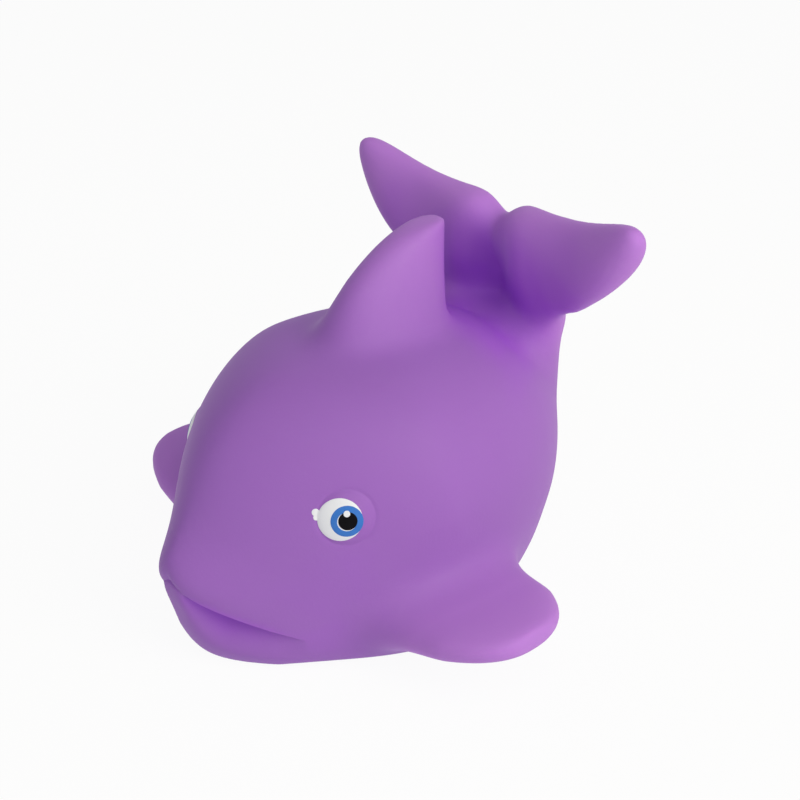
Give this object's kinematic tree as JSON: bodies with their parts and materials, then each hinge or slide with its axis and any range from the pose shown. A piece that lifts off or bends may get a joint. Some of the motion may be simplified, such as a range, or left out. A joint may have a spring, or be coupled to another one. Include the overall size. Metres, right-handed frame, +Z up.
{
  "type": "squeaky bath toy",
  "caption": "Hollow soft vinyl dolphin bath toy with raised tail flukes, side flippers, painted eyes and a press-in belly squeaker that sounds when its cheeks are squeezed.",
  "frame": {"origin": "on the flat belly, under the middle of the part's length and width", "axes": "+Z up, -Y out of the nose, +X out of the dolphin's left side"},
  "size_m": [0.0888, 0.0784, 0.0641],
  "materials": {
    "violet_vinyl": "soft satin vinyl, coloured in the mass",
    "white_paint": "printed paint, slightly glossy",
    "blue_paint": "printed paint, slightly glossy",
    "black_paint": "printed paint, slightly glossy",
    "squeaker_plastic": "moulded milky white",
    "reed_plastic": "moulded off-white",
    "reed_film": "thin clear-yellow film"
  },
  "bodies": {
    "shell": {"body_shell": "violet_vinyl", "squeaker_cup": "squeaker_plastic", "squeaker_cap": "squeaker_plastic", "reed_channel": "reed_plastic", "reed_wedge": "reed_plastic"},
    "left_cheek": {"left_eye_white": "white_paint", "left_iris": "blue_paint", "left_pupil": "black_paint", "left_highlight": "white_paint"},
    "right_cheek": {"right_eye_white": "white_paint", "right_iris": "blue_paint", "right_pupil": "black_paint", "right_highlight": "white_paint"},
    "reed_tongue": {"reed": "reed_film"}
  },
  "joints": [
    {"name": "left_cheek_squeeze", "type": "slide", "parent": "shell", "child": "left_cheek", "axis": [-1, 0, 0], "range_m": [0, 0.0032], "stiffness_N_per_m": 400, "deforming": ["body_shell"]},
    {"name": "right_cheek_squeeze", "type": "slide", "parent": "shell", "child": "right_cheek", "axis": [1, 0, 0], "range_m": [0, 0.0032], "deforming": ["body_shell"]},
    {"name": "reed_flutter", "type": "hinge", "parent": "shell", "child": "reed_tongue", "pos_m": [0, -0.00056, 0.0088], "axis": [0, -1, 0], "range_deg": [-2, 3], "stiffness_Nm_per_rad": 0.00076}
  ],
  "couplings": [
    {"joint": "right_cheek_squeeze", "follows": "left_cheek_squeeze", "ratio": 1}
  ]
}
